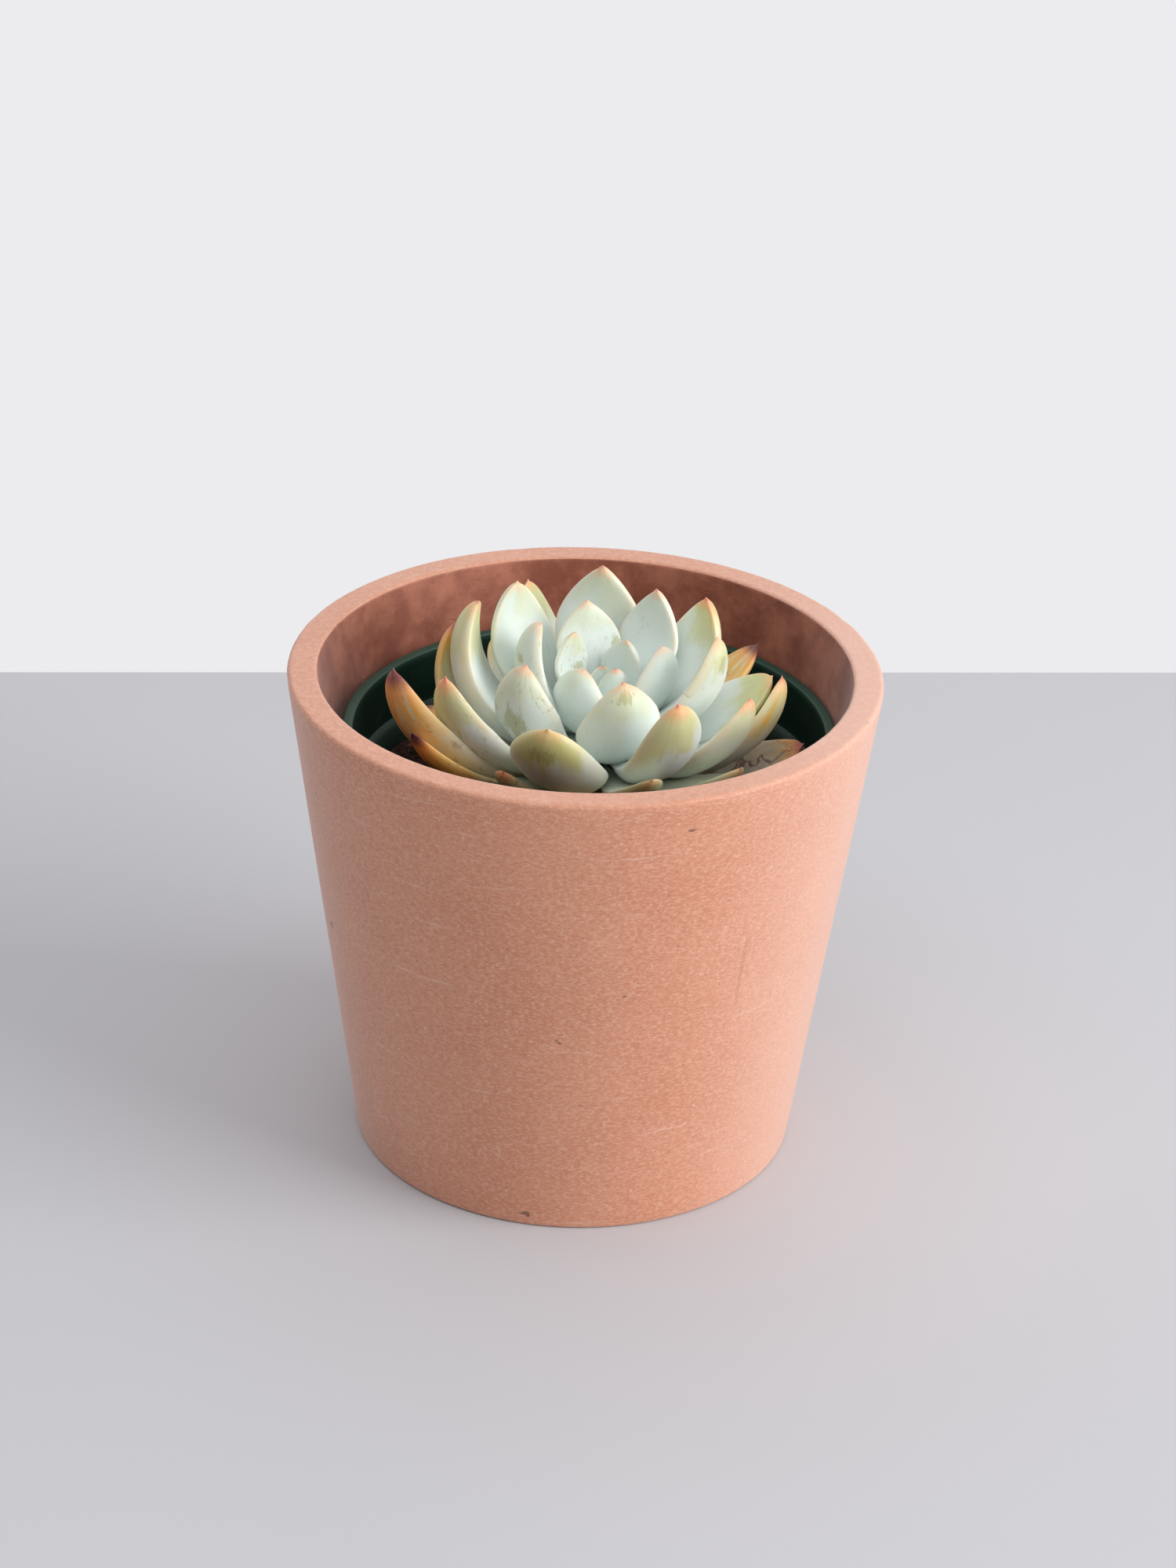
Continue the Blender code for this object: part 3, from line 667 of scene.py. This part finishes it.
def leaf_tree():
    """One leaf grown along a curve: a ball's rings become its stations and sides."""
    names = ("Width", "Depth", "Length", "Foot X", "Foot Y", "Foot Z", "Heading", "Foot rise",
             "Tip rise", "Roll", "Sweep", "Ridge", "Pointed", "Seed")
    numbers = [(name, "Float", 0.0) for name in names]
    tree, given = tree_with("leaf", numbers + [("Finish", "Material", None)])
    grow = Field(tree)
    ball = grow.node("GeometryNodeMeshUVSphere", {}, {"Segments": 48, "Rings": 84, "Radius": 1.0})
    split = grow.node("ShaderNodeSeparateXYZ", {}, {0: grow.node("GeometryNodeInputPosition")})
    ball_x, ball_y, ball_z = (split.other(i) for i in range(3))
    along = grow.maths("MINIMUM", (ball_z + 1) * 0.5, 1.0)
    angle = grow.maths("ARCTAN2", ball_y, ball_x)
    cosine = grow.maths("COSINE", angle)
    sine = grow.maths("SINE", angle)
    across = grow.maths("SIGN", cosine) * abs(cosine) ** 0.9

    def width_at(t):
        """The outline's half width: narrow foot, broadest past the middle, short rounded end."""
        opening = grow.maths("MINIMUM", t / BROADEST, 1.0) * (math.pi / 2)
        early = 0.19 + 0.81 * grow.maths("SINE", opening) ** 1.3
        past = (t - BROADEST) / (BODY_END - BROADEST)
        past = grow.maths("MINIMUM", grow.maths("MAXIMUM", past, 0.0), 1.0)
        blunt = 0.8 * grow.maths("SQRT", 1 - past ** 2.1) + 0.2 * (1 - past)
        sharp = (1 - past ** 1.7) ** 0.86
        late = blunt + (sharp - blunt) * given["Pointed"]
        point = 0.11 * grow.maths("MINIMUM", (1 - t) / POINT_LENGTH, 1.0) ** 0.75 * (t > BROADEST)
        return grow.maths("SMOOTH_MAX", early * late, point, 0.04)

    def depth_at(t):
        """The leaf is thickest a little before its middle."""
        filling = grow.maths("MINIMUM", t / THICKEST, 1.0) * (math.pi / 2)
        early = 0.33 + 0.67 * grow.maths("SINE", filling)
        past = (t - THICKEST) / (BODY_END - THICKEST)
        past = grow.maths("MINIMUM", grow.maths("MAXIMUM", past, 0.0), 1.0)
        point = 0.2 * grow.maths("MINIMUM", (1 - t) / POINT_LENGTH, 1.0) ** 0.75 * (t > 0.5)
        return grow.maths("SMOOTH_MAX", early * grow.maths("SQRT", 1 - past ** 2.4), point, 0.04)

    def heading_at(t):
        """Cosine and sine of the spine's rise, then of its bearing."""
        rise = given["Foot rise"] + (given["Tip rise"] - given["Foot rise"]) * t
        bearing = given["Heading"] + given["Sweep"] * t ** 1.5
        return [grow.maths(turn, of) for of in (rise, bearing) for turn in ("COSINE", "SINE")]

    step = [0.0, 0.0, 0.0]
    for place, weight in SPINE_PLACES:
        rise_c, rise_s, turn_c, turn_s = heading_at(along * place)
        for i, part in enumerate((rise_c * turn_c, rise_c * turn_s, rise_s)):
            step[i] = part * weight + step[i]
    reach = along * given["Length"]
    rise_c, rise_s, turn_c, turn_s = heading_at(along)
    side = (turn_s * -1, turn_c, None)
    upper = (turn_c * rise_s * -1, turn_s * rise_s * -1, rise_c)
    tilt = given["Roll"] * grow.maths("MINIMUM", along * 1.5, 1.0)
    tilt_c = grow.maths("COSINE", tilt)
    tilt_s = grow.maths("SINE", tilt)
    is_upper = sine > 0.0
    share = 1 - abs(across)
    own = grow.node("ShaderNodeCombineXYZ", {}, {0: along * 3, 1: across, 2: given["Seed"] + is_upper})
    swell = grow.node("ShaderNodeTexNoise", {}, {"Vector": own, "Scale": 1.0, "Detail": 1.0}) - 0.5
    body = grow.maths("SINE", along * math.pi)
    top = 0.55 * abs(sine) ** 1.1 + given["Ridge"] * share * 0.30 * along.between(0.1, 0.5)
    back = -1.45 * abs(sine) ** 0.95 - 0.12 * share ** 2 * along.between(0.45, 0.8)
    lift = is_upper * top + (1 - is_upper) * back
    half_width = given["Width"] * width_at(along) * 0.5
    half_depth = given["Depth"] * depth_at(along) * 0.5
    go_side = half_width * across
    go_up = half_depth * lift + half_width * across * across * 0.12 + swell * body * abs(sine) * 0.8 * MM
    places = []
    for i, foot in enumerate(("Foot X", "Foot Y", "Foot Z")):
        spine = given[foot] + reach * step[i]
        sideways = upper[i] * (go_side * tilt_s + go_up * tilt_c)
        if side[i]:
            sideways = sideways + side[i] * (go_side * tilt_c - go_up * tilt_s)
        places.append(spine + sideways)
    spot = grow.node("ShaderNodeCombineXYZ", {}, {0: places[0], 1: places[1], 2: places[2]})
    shape = ball
    for label, field in (("along", along), ("across", across)):
        shape = grow.node("GeometryNodeStoreNamedAttribute", {"data_type": "FLOAT", "domain": "POINT"},
                          {"Geometry": shape, "Name": label, "Value": field})
    shape = grow.node("GeometryNodeSetPosition", {}, {"Geometry": shape, "Position": spot})
    end_tree(grow, shape, given["Finish"])
    return tree


SUN_FLUSH = rgba(203, 198, 98)
AMBER = rgba(236, 182, 72)
WAX = rgba(240, 247, 246)
OLD_WAX = rgba(222, 216, 206)
RUBBED_LEAF = rgba(172, 192, 158)
MARGIN_CREAM = rgba(246, 242, 220)
MARGIN_PEACH = rgba(240, 205, 170)
BRUISE_OLIVE = rgba(168, 168, 88)
BRUISE_BROWN = rgba(140, 92, 52)
BRUISE_SPECK = rgba(142, 84, 52)
PAPERY = rgba(224, 221, 210)
CRACK_BROWN = rgba(112, 76, 52)
CRACK_PURPLE = rgba(112, 50, 78)
TIP_PEACH = rgba(247, 205, 160)
TIP_ORANGE = rgba(240, 140, 84)
POINT_CORAL = rgba(226, 110, 104)
POINT_PURPLE = rgba(70, 24, 48)
LEAF_DUST = rgba(240, 244, 240)


def leaf_skin(name, green, warm, shade, bloom):
    """Waxy leaf skin: a body colour that warms to the tip, cream margins, bruises and bloom."""
    made, ink, shader = begin_material(name, Specular_IOR_Level=0.5, Subsurface_Weight=0.3,
                                       Subsurface_Scale=3.5 * MM, Subsurface_Radius=(1.0, 0.8, 0.45))
    place = ink.node("ShaderNodeTexCoord", out=3)

    def stored(label):
        return ink.node("ShaderNodeAttribute", {"attribute_name": label}, out=2)

    along, across, seed = (stored(label) for label in ("along", "across", "seed"))
    ripe, sun, withered = (stored(label) for label in ("ripe", "sun", "withered"))
    margin, bruise = (stored(label) for label in ("margin", "bruise"))
    hot, reach = (stored(label) for label in ("hot", "reach"))
    edge = abs(across)
    own = ink.node("ShaderNodeCombineXYZ", {}, {0: along * 0.045, 1: across * 0.009, 2: seed})
    streaks = grain(ink, own, 160, 4, 0.6, stretch=(0.5, 1.6, 1))
    clouds = grain(ink, own, 70, 3)
    dust = grain(ink, place, 900, 5, 0.7)
    rubs = grain(ink, own, 220, 5, 0.65, stretch=(0.6, 1.3, 1))
    # The body: deeper green at the foot as painted shade, paler over the middle, warmer with age and to
    # the tip.
    colour = along.between(0.05, 0.55).mix(shade, green)
    warmth = (along + (streaks - 0.5) * 0.7 + ripe * 1.3 - 0.35).between(0.55, 1.05)
    colour = (warmth * 0.8).mix(colour, warm)
    flush = (along - 0.73) * 2.6 + (clouds - 0.5) * 1.5 + (streaks - 0.5) * 0.8
    flush = (flush + sun * 0.15 - across * 0.15).between(0.0, 0.4) * sun
    colour = (flush * 0.8).mix(colour, SUN_FLUSH)
    amber = (ripe * 1.2 + (streaks - 0.5) * 2.2 + edge * 0.3 - 0.65) * along.between(0.45, 0.9)
    colour = amber.between(0.0, 0.45).mix(colour, AMBER)
    # The bloom: patchy whitish wax that thins to the tip, greyer on old leaves.
    wax = (1 - along.between(0.6, 1.0) * 0.7) * (0.35 + 0.65 * clouds) * bloom
    wax = wax * (1 - amber.between(0.0, 0.3) * 0.75) * (1 - flush * 0.7)
    colour = wax.mix(colour, ripe.between(0.3, 0.8).mix(WAX, OLD_WAX))
    colour = (rubs.between(0.60, 0.72) * 0.30).mix(colour, RUBBED_LEAF)
    # The margins: a cream to peach band that widens to the tip.
    band = (edge + (streaks - 0.5) * 0.10).between(0.80, 1.0) * along.between(0.3, 0.7) * margin
    cream = (hot * 0.6).mix(MARGIN_CREAM, MARGIN_PEACH)
    colour = (band * 0.55).mix(colour, cream)
    # Bruises: olive, or brown on old leaves, broken up by veins and dark specks.
    veins = grain(ink, own, 420, 4, 0.75, stretch=(0.7, 1.5, 1))
    scar = (bruise + (veins - 0.5) * 2.4).between(0.62, 1.05) * (1 - along.between(0.95, 0.98))
    colour = (scar * 0.55).mix(colour, ripe.between(0.2, 0.8).mix(BRUISE_OLIVE, BRUISE_BROWN))
    specks = grain(ink, place, 800, 2).between(0.72, 0.76) * bruise.between(0.2, 0.8)
    colour = (specks * 0.6).mix(colour, BRUISE_SPECK)
    # Withering: the skin turns papery beige and cracks along brown and purple lines.
    folds = abs(grain(ink, own, 75, 3, 0.55, stretch=(1.5, 1, 1)) - 0.5)
    cracks = (1 - folds.between(0.004, 0.030)) * withered * clouds.between(0.35, 0.55)
    colour = (withered * (1 - along.between(0.75, 0.92) * 0.8) * 0.75).mix(colour, PAPERY)
    colour = (cracks * 0.75).mix(colour, clouds.between(0.4, 0.6).mix(CRACK_BROWN, CRACK_PURPLE))
    # The tip: peach to orange, its very point coral, or purple on the oldest leaves.
    old = ripe.between(0.4, 0.8)
    ends = along + (streaks - 0.5) * 0.04 + reach * 0.025
    glow = ends.between(0.915 - old * 0.10, 1.0)
    colour = (glow * (0.5 + hot * 0.2)).mix(colour, hot.mix(TIP_PEACH, TIP_ORANGE))
    point = ends.between(0.985 - old * 0.07, 1.015 - old * 0.02)
    colour = (point * (0.4 + 0.6 * hot)).mix(colour, old.mix(POINT_CORAL, POINT_PURPLE))
    colour = (dust.between(0.5, 0.8) * 0.22 * bloom).mix(colour, LEAF_DUST)
    height = clouds * 1.2 + streaks * 0.6 + dust * 0.18 - scar * 0.7 - specks * 0.3 - cracks * 2.0
    bump = ink.node("ShaderNodeBump", {}, {"Strength": 0.35, "Distance": 0.5 * MM, "Height": height})
    rough = 0.36 + wax * 0.12 + dust * 0.12 + scar * 0.15
    feed(shader, Base_Color=colour, Roughness=rough, Normal=bump)
    return made


LEAF_FINISHES = (
    ("young_leaf", leaf_skin("young leaf", green=rgba(214, 226, 216), warm=rgba(225, 226, 182),
                             shade=rgba(176, 200, 180), bloom=0.85)),
    ("mature_leaf", leaf_skin("mature leaf", green=rgba(211, 222, 202), warm=rgba(217, 212, 146),
                              shade=rgba(172, 196, 166), bloom=0.85)),
    ("old_leaf", leaf_skin("old leaf", green=rgba(196, 200, 160), warm=rgba(210, 176, 84),
                           shade=rgba(156, 168, 136), bloom=0.6)),
)
YOUNG_LEAVES = 22
YOUNG_AND_MATURE_LEAVES = 30
FIRST_LEAF = 117.5 * MM
LEAF_STEP = 0.4 * MM
SEATED = 0.3 * MM

# Each leaf from the heart outward: turn, rise at the foot and at the tip, length, width, roll and
# sweep, in degrees and millimetres. Then ripeness, margin, bruising, and the heat and reach of the
# tip's colour, each from 0 to 1.
LEAVES = (
    (125, 82, 103, 13, 7, -15, -5, 0.0, 0.3, 0.1, 0.8, 0.8),
    (-70, 73, 78, 17, 8, -5, 0, 0.0, 0.3, 0.1, 0.8, 0.6),
    (50, 65, 88, 20, 13, 5, -10, 0.0, 0.5, 0.1, 0.6, 0.2),
    (165, 44, 109, 25, 11, -30, 0, 0.1, 0.6, 0.5, 0.4, 0.2),
    (-15, 30, 98, 27, 15, -20, 0, 0.0, 0.9, 0.0, 0.3, 0.3),
    (110, 42, 96, 31, 17, -10, 15, 0.0, 0.9, 0.45, 0.5, 0.3),
    (-125, 22, 123, 22, 17, 5, -20, 0.05, 0.6, 0.25, 0.5, 0.3),
    (50, 34, 95, 37, 17, 15, -15, 0.0, 1.0, 0.1, 0.6, 0.3),
    (-20, 11, 88, 43, 19, -5, 5, 0.1, 1.0, 0.35, 0.4, 0.2),
    (185, 18, 115, 36, 16, 12, -15, 0.1, 0.7, 0.4, 0.3, 0.2),
    (-80, 0, 100, 37, 21, 10, 5, 0.0, 0.5, 0.3, 0.4, 0.5),
    (30, 10, 93, 44, 19, 15, -10, 0.25, 0.9, 0.2, 0.8, 0.6),
    (95, 21, 102, 44, 23, -10, -15, 0.05, 0.9, 0.1, 0.6, 0.3),
    (150, 15, 101, 46, 19, -20, 0, 0.1, 0.8, 0.1, 0.3, 0.2),
    (-140, -7, 110, 40, 18, 25, -10, 0.05, 0.7, 0.55, 0.7, 0.3),
    (180, -11, 116, 56, 18, 8, -20, 0.2, 1.0, 0.1, 0.5, 0.5),
    (120, 6, 73, 47, 14, 15, 5, 0.3, 0.8, 0.2, 0.7, 0.5),
    (0, 2, 53, 45, 16, 30, -10, 0.25, 0.7, 0.2, 0.3, 0.4),
    (65, 6, 40, 42, 17, 0, 0, 0.2, 0.6, 0.2, 0.5, 0.3),
    (-60, -2, 77, 55, 20, 15, -20, 0.0, 0.7, 0.1, 0.9, 0.4),
    (-150, -18, 87, 55, 17, 30, -10, 0.15, 0.7, 0.5, 0.8, 0.8),
    (30, 2, 48, 46, 15, 0, -5, 0.75, 0.4, 0.4, 0.9, 0.7),
    (-30, -10, 76, 49, 19, -5, 5, 0.15, 0.9, 0.1, 0.9, 0.4),
    (95, 5, 44, 46, 18, 0, 0, 0.3, 0.6, 0.2, 0.5, 0.4),
    (165, -22, 104, 55, 19, -25, 5, 0.55, 0.4, 0.5, 0.8, 0.4),
    (-110, -1, 69, 49, 25, -5, 10, 0.0, 0.6, 0.15, 0.4, 0.0),
    (-5, -21, 84, 55, 18, -15, -5, 0.55, 0.8, 0.2, 0.7, 0.4),
    (-160, -17, 80, 65, 21, 25, -5, 0.7, 0.5, 0.5, 0.9, 0.9),
    (130, 6, 40, 42, 18, 5, 0, 0.4, 0.5, 0.3, 0.6, 0.4),
    (60, 8, 40, 45, 17, 0, 0, 0.4, 0.5, 0.3, 0.6, 0.4),
    (-40, -13, 48, 45, 16, -5, 0, 0.05, 0.5, 0.3, 0.5, 0.3),
    (-75, 3, 43, 51, 13, 5, 0, 0.05, 0.5, 0.3, 0.5, 0.3),
    (-130, -15, 54, 39, 13, -5, 15, 0.25, 0.4, 0.9, 0.9, 0.6),
    (-150, -15, 60, 55, 13, 15, 0, 0.9, 0.3, 0.6, 1.0, 0.7),
    (0, -22, 42, 50, 18, 15, -10, 0.6, 0.4, 0.8, 0.9, 0.9),
    (85, 4, 25, 44, 17, 0, 0, 0.6, 0.4, 0.4, 0.7, 0.5),
    (125, 3, 22, 44, 17, 0, 0, 0.7, 0.4, 0.4, 0.8, 0.5),
    (-55, -19, 18, 40, 12, 5, 0, 0.5, 0.3, 0.3, 0.7, 0.5),
    (155, -6, 19, 45, 15, 0, 0, 0.8, 0.3, 0.5, 0.9, 0.6),
    (40, 0, 20, 44, 17, 0, 0, 0.7, 0.4, 0.4, 0.8, 0.5),
    (-95, -10, 20, 41, 16, 0, 0, 0.6, 0.3, 0.4, 0.8, 0.5),
)
# What sets single leaves apart, by row, counted from 0. First those that neighbours pressed to a
# ridge down the face, and those that end in a sharper arch.
RIDGES = {2: 0.3, 3: 0.9, 5: 0.8, 7: 0.3, 12: 0.5, 24: 0.5}
POINTED = {2: 0.7, 3: 0.6, 4: 0.4, 5: 0.9, 7: 0.9, 8: 0.4, 10: 0.5, 11: 0.7, 12: 1.0, 13: 0.4,
           14: 0.35, 24: 0.5}
# Leaves that the sun has flushed yellow-green.
SUNNED = {3: 0.4, 5: 0.35, 6: 0.3, 8: 0.7, 10: 0.45, 11: 0.8, 12: 0.4, 13: 0.35, 14: 0.4, 15: 0.8,
          16: 0.8, 17: 0.8, 19: 0.9, 20: 0.8, 22: 0.5, 24: 0.7, 25: 1.0, 26: 0.5, 30: 0.5, 31: 0.5}
# Bruises: where along the leaf and across it, with their length and breadth as shares of it.
MARKS = {3: [(0.6, -0.2, 0.05, 0.3)], 5: [(0.6, -0.8, 0.05, 0.15), (0.55, 0.8, 0.05, 0.15)],
         6: [(0.4, -0.7, 0.1, 0.3)], 8: [(0.86, -0.3, 0.05, 0.25)], 9: [(0.76, 0.4, 0.03, 0.2)],
         10: [(0.92, -0.2, 0.04, 0.5)], 14: [(0.66, -0.1, 0.07, 0.3), (0.52, 0.0, 0.04, 0.3)],
         20: [(0.62, 0.0, 0.1, 0.2), (0.42, 0.2, 0.05, 0.2)], 21: [(0.75, 0.0, 0.03, 0.2)],
         25: [(0.86, -0.1, 0.06, 0.6)], 27: [(0.45, 0.2, 0.03, 0.2)],
         33: [(0.8, 0.0, 0.03, 0.2)]}
# Old leaves that are drying up.
WITHERED = {32: 0.5, 34: 0.9, 37: 0.3}
# Leaves that stand free and have swollen wider than their row says.
SWOLLEN = {4: 1.1, 9: 1.2, 15: 1.2, 14: 1.05, 10: 1.04}

leaf_grower = leaf_tree()
for n, row in enumerate(LEAVES):
    turn, foot_rise, tip_rise, length, width, roll, sweep, ripe, margin, bruise, hot, reach = row
    height = FIRST_LEAF - n * LEAF_STEP
    heading = math.radians(turn)
    outward = Vector((math.cos(heading), math.sin(heading), 0))
    start = stem_axis(height) + outward * (stem_radius(height) + SEATED)
    width *= SWOLLEN.get(n, 1.0)
    plump = 0.36 if n < 12 else 0.34 if n < 20 else 0.30
    slot, finish = LEAF_FINISHES[(n >= YOUNG_LEAVES) + (n >= YOUNG_AND_MATURE_LEAVES)]
    label = "leaf_%02d" % (n + 1)
    leaf = place_mesh(label + "_blade", bpy.data.meshes.new(label), finish)
    run_tree(leaf, leaf_grower, {
        "Length": length * MM, "Width": width * MM, "Depth": width * plump * MM,
        "Foot X": start.x, "Foot Y": start.y, "Foot Z": start.z, "Heading": heading,
        "Foot rise": math.radians(foot_rise), "Tip rise": math.radians(tip_rise),
        "Roll": math.radians(roll), "Sweep": math.radians(sweep),
        "Ridge": RIDGES.get(n, 0.0), "Pointed": POINTED.get(n, 0.15), "Seed": n * 1.7,
        "Finish": finish})
    looks = {"ripe": ripe, "margin": margin, "bruise": bruise, "hot": hot, "reach": reach,
             "seed": n * 0.37, "sun": SUNNED.get(n, 0.1), "withered": WITHERED.get(n, 0.0)}
    for name, value in looks.items():
        paint(leaf.data, name, lambda point: value)
    stations = [v.value for v in leaf.data.attributes["along"].data]
    breadths = [v.value for v in leaf.data.attributes["across"].data]
    for t, w, long, broad in MARKS.get(n, ()):
        for spot, far, off in zip(leaf.data.attributes["bruise"].data, stations, breadths):
            spot.value += math.exp(-((far - t) / long) ** 2 - ((off - w) / broad) ** 2)
    leaf.data.shade_smooth()
    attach(leaf, "root")
    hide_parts(label)


# ---------------------------------------------------------------------------------------------
# The setting. A pale table in front of a paler wall, one large soft window light from the right,
# a weak one from above, and the camera.
# ---------------------------------------------------------------------------------------------

TABLE_GREY = rgba(196, 197, 201)
TABLE_PALE = rgba(200, 200, 204)


def table_material():
    """Matt pale grey paint with a faint haze."""
    made, ink, shader = begin_material("table top", Roughness=0.65, Specular_IOR_Level=0.3)
    place = ink.node("ShaderNodeTexCoord", out=3)
    haze = grain(ink, place, 6, 2)
    feed(shader, Base_Color=haze.mix(TABLE_GREY, TABLE_PALE))
    return made


TABLE_BACK = 0.266
TABLE_SKEW = 0.069
TABLE_HALF = 3.0
table_corners = ((-TABLE_HALF, -TABLE_HALF, 0), (TABLE_HALF, -TABLE_HALF, 0),
                 (TABLE_HALF, TABLE_BACK + TABLE_HALF * TABLE_SKEW, 0),
                 (-TABLE_HALF, TABLE_BACK - TABLE_HALF * TABLE_SKEW, 0))
table_shape = bmesh.new()
table_shape.faces.new([table_shape.verts.new(corner) for corner in table_corners])
table_mesh = bpy.data.meshes.new("table_top")
table_shape.to_mesh(table_mesh)
table_shape.free()
table = place_mesh("table_top", table_mesh, table_material())

# The room's glow: bright at the pale wall behind, dimmer overhead, to the right and in front.
WALL_PAINT = rgba(236, 236, 239)
world = bpy.data.worlds.new("room")
world.use_nodes = True
room = Field(world.node_tree)
side = room.node("ShaderNodeSeparateXYZ", {}, {0: room.node("ShaderNodeTexCoord")})
to_right, to_back, to_top = (side.other(i) for i in range(3))
pale_wall = to_back.between(0.05, 0.45)
ceiling = 0.40 * to_top.between(0.15, 0.85)
around = 0.12 + 0.26 * (to_back * -1).between(0.2, 0.95) + 0.40 * to_right.between(0.0, 0.8)
glow = pale_wall + (1 - pale_wall) * (around + ceiling)
backdrop = world.node_tree.nodes["Background"]
backdrop.inputs["Color"].default_value = WALL_PAINT
world.node_tree.links.new(glow.socket, backdrop.inputs["Strength"])
bpy.context.scene.world = world


def soft_light(name, size, watts, place, target, tint):
    """A square area light turned from a place towards a target."""
    light = bpy.data.lights.new(name, "AREA")
    light.shape = "SQUARE"
    light.size = size
    light.energy = watts
    light.color = tint
    made = bpy.data.objects.new(name, light)
    made.location = place
    made.rotation_euler = (Vector(target) - Vector(place)).to_track_quat("-Z", "Y").to_euler()
    bpy.context.collection.objects.link(made)


MIDDLE = (0, 0, 0.1)
WINDOW_TINT = (1.0, 0.99, 0.97)
SKY_TINT = (0.97, 0.985, 1.0)
soft_light("window", 1.3, 30, (1.60, -0.62, 0.85), MIDDLE, WINDOW_TINT)
soft_light("skylight", 1.0, 4, (-0.25, -0.45, 1.4), MIDDLE, SKY_TINT)

# The camera looks a little down on the pot from in front, and is canted a touch.
CAMERA_PLACE = (-0.00163, -0.98426, 0.60549)
swing = math.radians(0.181)
dip = math.radians(27.3055)
cant = math.radians(1.822)
ahead = Vector((math.sin(swing) * math.cos(dip), math.cos(swing) * math.cos(dip), -math.sin(dip)))
level = Vector((math.cos(swing), -math.sin(swing), 0))
above = level.cross(ahead)
right = level * math.cos(cant) + above * math.sin(cant)
over = above * math.cos(cant) - level * math.sin(cant)
camera_data = bpy.data.cameras.new("camera")
camera_data.lens = 100
camera_data.sensor_width = 36
camera = bpy.data.objects.new("camera", camera_data)
columns = Matrix((right, over, -ahead)).transposed()
camera.matrix_world = Matrix.Translation(CAMERA_PLACE) @ columns.to_4x4()
bpy.context.collection.objects.link(camera)
bpy.context.scene.camera = camera
bpy.context.scene.view_settings.view_transform = "Standard"
